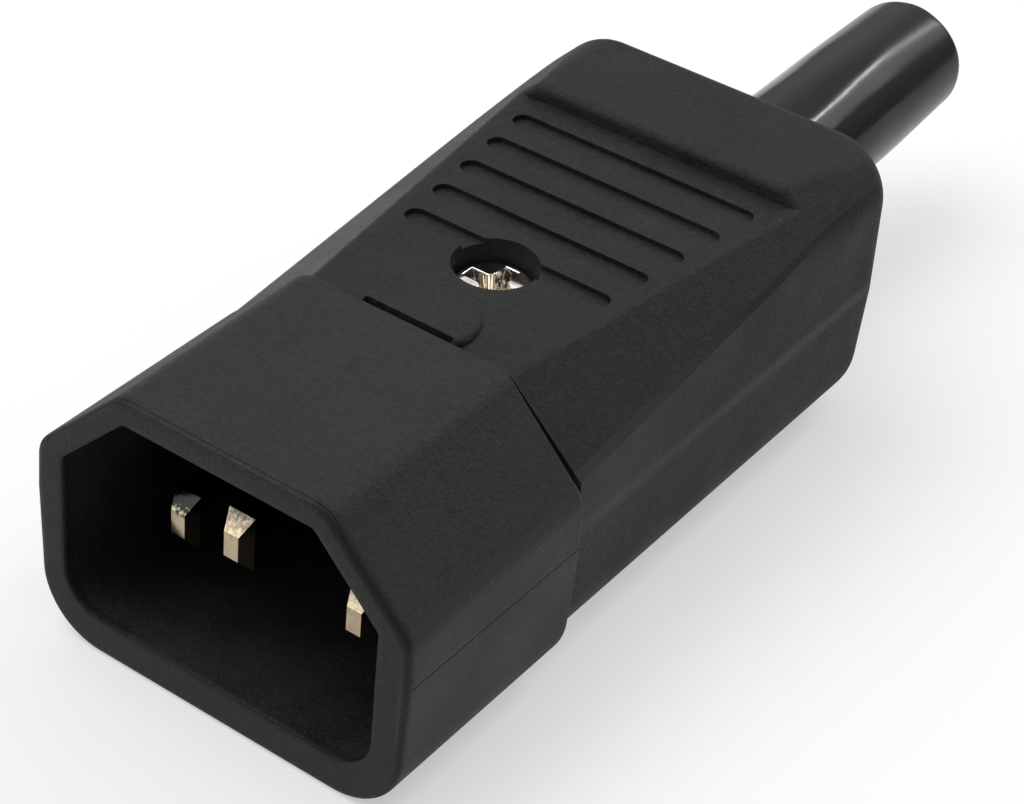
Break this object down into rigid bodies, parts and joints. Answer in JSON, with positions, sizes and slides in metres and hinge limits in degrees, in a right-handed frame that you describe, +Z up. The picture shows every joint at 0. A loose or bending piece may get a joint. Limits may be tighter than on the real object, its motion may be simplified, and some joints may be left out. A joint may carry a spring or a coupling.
{
  "type": "rewirable c14 in-line power plug",
  "caption": "Rewirable in-line appliance plug: flat blades inside a chamfered shroud, a finger-grooved hood held by a recessed screw, and a bend-relief sleeve for the cord.",
  "frame": {"origin": "Middle of the mating opening, on the plane of the front rim.", "axes": "+Y runs from the mating face to the cord, +Z is up with the earth blade above the other two, +X is to the right seen from the mating face."},
  "size_m": [0.029, 0.0859, 0.0223],
  "materials": {
    "body_plastic": "fine moulded grain",
    "sleeve_plastic": "smooth soft vinyl",
    "blade_metal": "nickel plated",
    "terminal_metal": "plain machined",
    "screw_metal": "zinc plated",
    "bright_metal": "nickel plated",
    "clamp_plastic": "plain moulded"
  },
  "bodies": {
    "root": {"front_body": "body_plastic", "rear_cover": "body_plastic", "bend_relief_sleeve": "sleeve_plastic", "line_blade": "blade_metal", "neutral_blade": "blade_metal", "earth_blade": "blade_metal", "line_terminal": "terminal_metal", "neutral_terminal": "terminal_metal", "earth_terminal": "terminal_metal", "line_terminal_screw": "screw_metal", "neutral_terminal_screw": "screw_metal", "earth_terminal_screw": "screw_metal", "cord_clamp": "clamp_plastic", "cord_clamp_screw_left": "screw_metal", "cord_clamp_screw_right": "screw_metal", "cover_screw": "bright_metal", "cover_nut": "screw_metal"}
  },
  "joints": []
}
